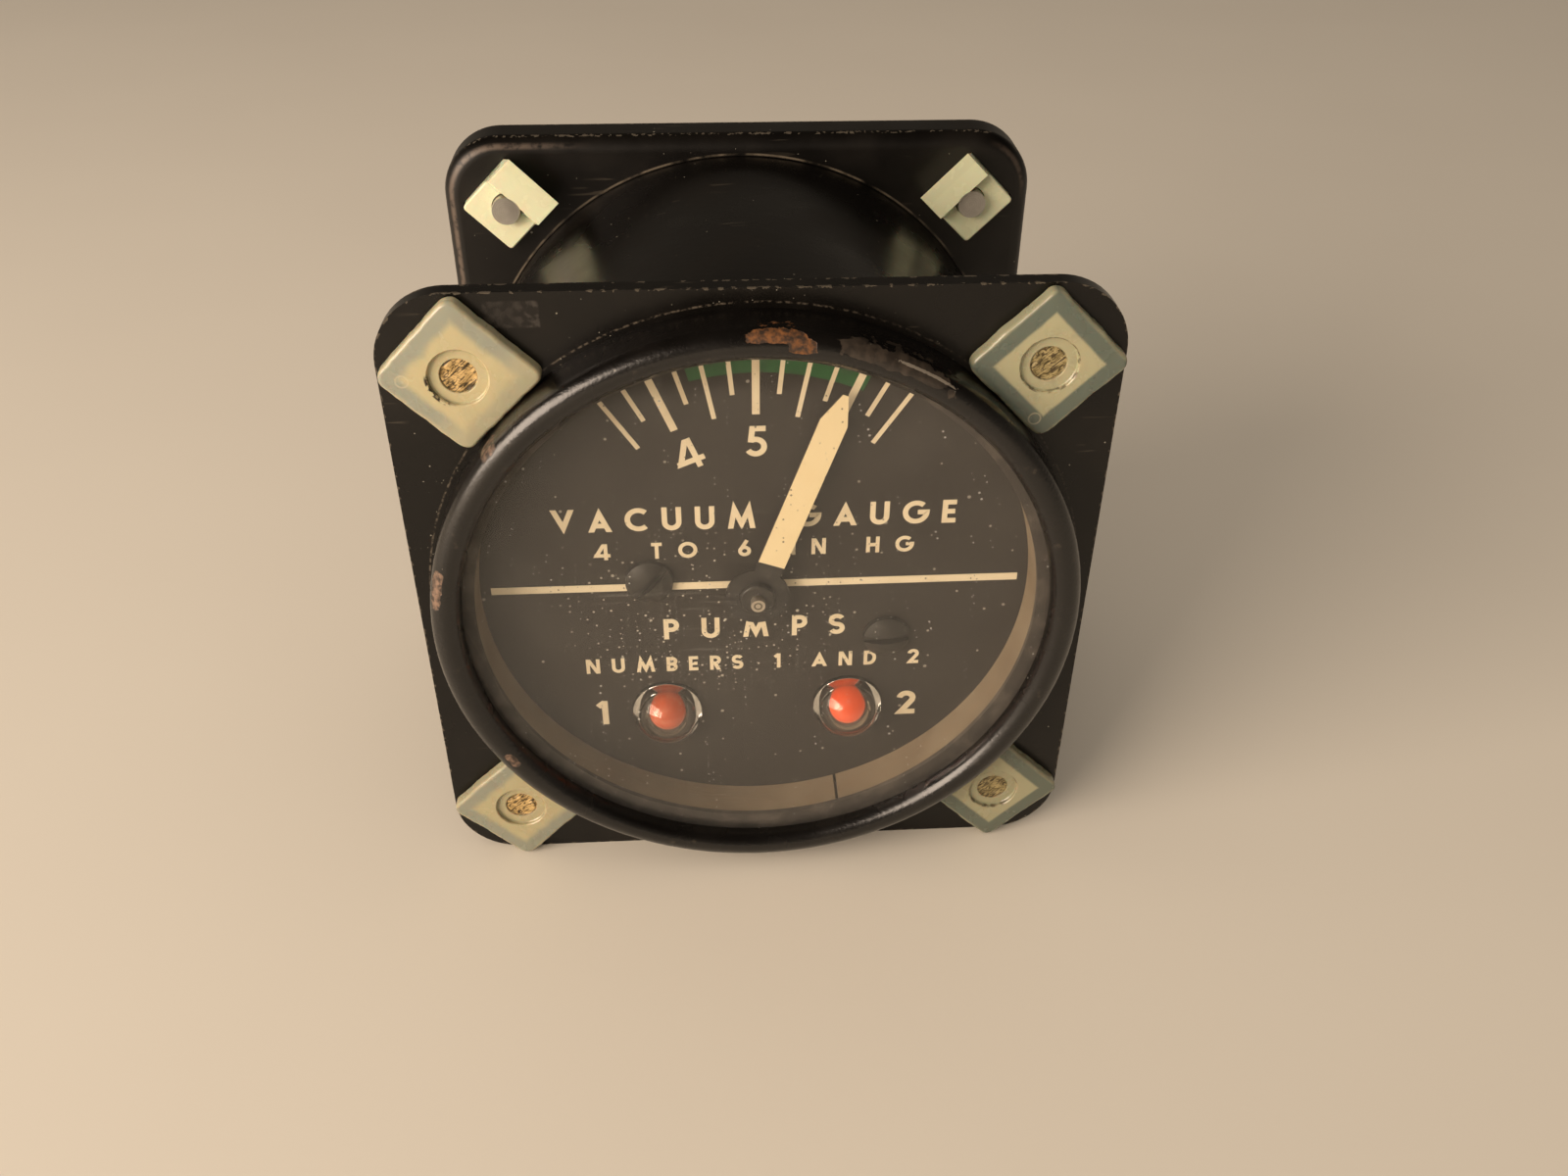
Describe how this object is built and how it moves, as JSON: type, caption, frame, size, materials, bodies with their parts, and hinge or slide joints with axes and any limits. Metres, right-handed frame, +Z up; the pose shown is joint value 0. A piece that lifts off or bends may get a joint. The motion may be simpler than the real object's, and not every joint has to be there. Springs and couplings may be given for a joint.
{
  "type": "aircraft vacuum gauge",
  "caption": "Panel gauge with a drawn case, square flange, rolled bezel, glazed dial, geared pointer, capsule movement, sprung pump indicators and threaded rear ports",
  "frame": {"origin": "centre of the front flange's front face, on the axis of the case, where the instrument lies against the back of its panel", "axes": "X to the right as seen from the front, Y from the dial back into the case, Z up with the dial upright"},
  "size_m": [0.0604, 0.0551, 0.0604],
  "materials": {
    "case_black": "satin black paint over sheet, worn to metal at the edges",
    "pan_black": "semi-gloss black paint over sheet",
    "bezel_black": "satin black paint, chipped to brown",
    "cover_black": "satin black paint",
    "window_glass": "clear flat glass with dust",
    "gasket_grey": "grey gasket",
    "seal_black": "black seal",
    "spacer_tan": "tan spacer strip",
    "nut_nylon": "translucent nylon, yellowed",
    "screw_steel": "plated steel",
    "port_brass": "turned brass",
    "dial_black": "matte black dial paint",
    "dial_white": "white dial print",
    "dial_green": "green dial print",
    "dial_screw_black": "gloss black screw heads",
    "pointer_black": "black pointer paint",
    "pointer_cream": "cream pointer paint",
    "movement_brass": "blanked and turned brass",
    "movement_steel": "polished steel",
    "spring_bronze": "spring bronze",
    "lens_clear": "clear moulded lens",
    "plunger_red": "red-orange plunger",
    "barrel_metal": "turned aluminium",
    "tube_copper": "drawn tube"
  },
  "bodies": {
    "housing": {"case_body": "case_black", "rear_pan": "pan_black", "bezel_ring": "bezel_black", "rear_cover": "cover_black", "glass": "window_glass", "glass_gasket": "gasket_grey", "rear_seal": "seal_black", "spacer_ring": "spacer_tan", "front_captive_nuts": "nut_nylon", "rear_captive_nuts": "nut_nylon", "cover_screws": "screw_steel", "plate_screws": "screw_steel", "main_port": "port_brass", "left_pump_port": "port_brass", "right_pump_port": "port_brass", "port_nuts": "port_brass", "dial_plate": "dial_black", "scale_marks": "dial_white", "green_band": "dial_green", "dial_screws": "dial_screw_black", "front_plate": "movement_brass", "back_plate": "movement_brass", "plate_pillars": "movement_brass", "support_pillars": "movement_brass", "dial_posts": "movement_brass", "hairspring_stud": "movement_brass", "shaft_bracket": "movement_brass", "capsule_stem": "movement_brass", "hairspring": "spring_bronze", "capsule_front_disc": "spring_bronze", "capsule_rear_disc": "spring_bronze", "left_indicator_spring": "spring_bronze", "right_indicator_spring": "spring_bronze", "left_indicator_lens": "lens_clear", "right_indicator_lens": "lens_clear", "left_indicator_barrel": "barrel_metal", "right_indicator_barrel": "barrel_metal", "left_indicator_retainer": "barrel_metal", "right_indicator_retainer": "barrel_metal", "left_pump_tube": "tube_copper", "right_pump_tube": "tube_copper"},
    "sector": {"sector_gear": "movement_brass", "sector_arbor": "movement_steel"},
    "needle": {"pointer": "pointer_black", "pointer_paint": "pointer_cream", "pointer_bushing": "pointer_black", "pinion_staff": "movement_steel", "hairspring_collet": "movement_brass"},
    "rocker": {"rocking_shaft": "movement_steel"},
    "push_rod": {"link": "movement_brass", "link_pin": "movement_steel", "capsule_post": "movement_brass"},
    "left_plunger": {"left_indicator_plunger": "plunger_red"},
    "right_plunger": {"right_indicator_plunger": "plunger_red"}
  },
  "joints": [
    {"name": "sector_swing", "type": "hinge", "parent": "housing", "child": "sector", "pos_m": [0, 0.0124, 0.0144], "axis": [0, 1, 0], "range_deg": [-4, 12], "stiffness_Nm_per_rad": 0.02},
    {"name": "needle_turn", "type": "hinge", "parent": "housing", "child": "needle", "pos_m": [0, 0, 0], "axis": [0, 1, 0], "range_deg": [-60, 20]},
    {"name": "rocker_turn", "type": "hinge", "parent": "housing", "child": "rocker", "pos_m": [0, 0.0214, 0.01322], "axis": [1, 0, 0], "range_deg": [-2, 6]},
    {"name": "push_rod_slide", "type": "slide", "parent": "housing", "child": "push_rod", "axis": [0, 1, 0], "range_m": [-0.00028, 0.00084], "deforming": ["capsule_front_disc", "capsule_rear_disc"]},
    {"name": "left_plunger_slide", "type": "slide", "parent": "housing", "child": "left_plunger", "axis": [0, 1, 0], "range_m": [0, 0.0035], "stiffness_N_per_m": 100, "springref_m": -0.002, "deforming": ["left_indicator_spring"]},
    {"name": "right_plunger_slide", "type": "slide", "parent": "housing", "child": "right_plunger", "axis": [0, 1, 0], "range_m": [0, 0.0035], "stiffness_N_per_m": 100, "springref_m": -0.002, "deforming": ["right_indicator_spring"]}
  ],
  "couplings": [
    {"joint": "needle_turn", "follows": "sector_swing", "ratio": -5},
    {"joint": "rocker_turn", "follows": "sector_swing", "ratio": 0.5},
    {"joint": "push_rod_slide", "follows": "sector_swing", "m_per_rad": 0.004}
  ]
}
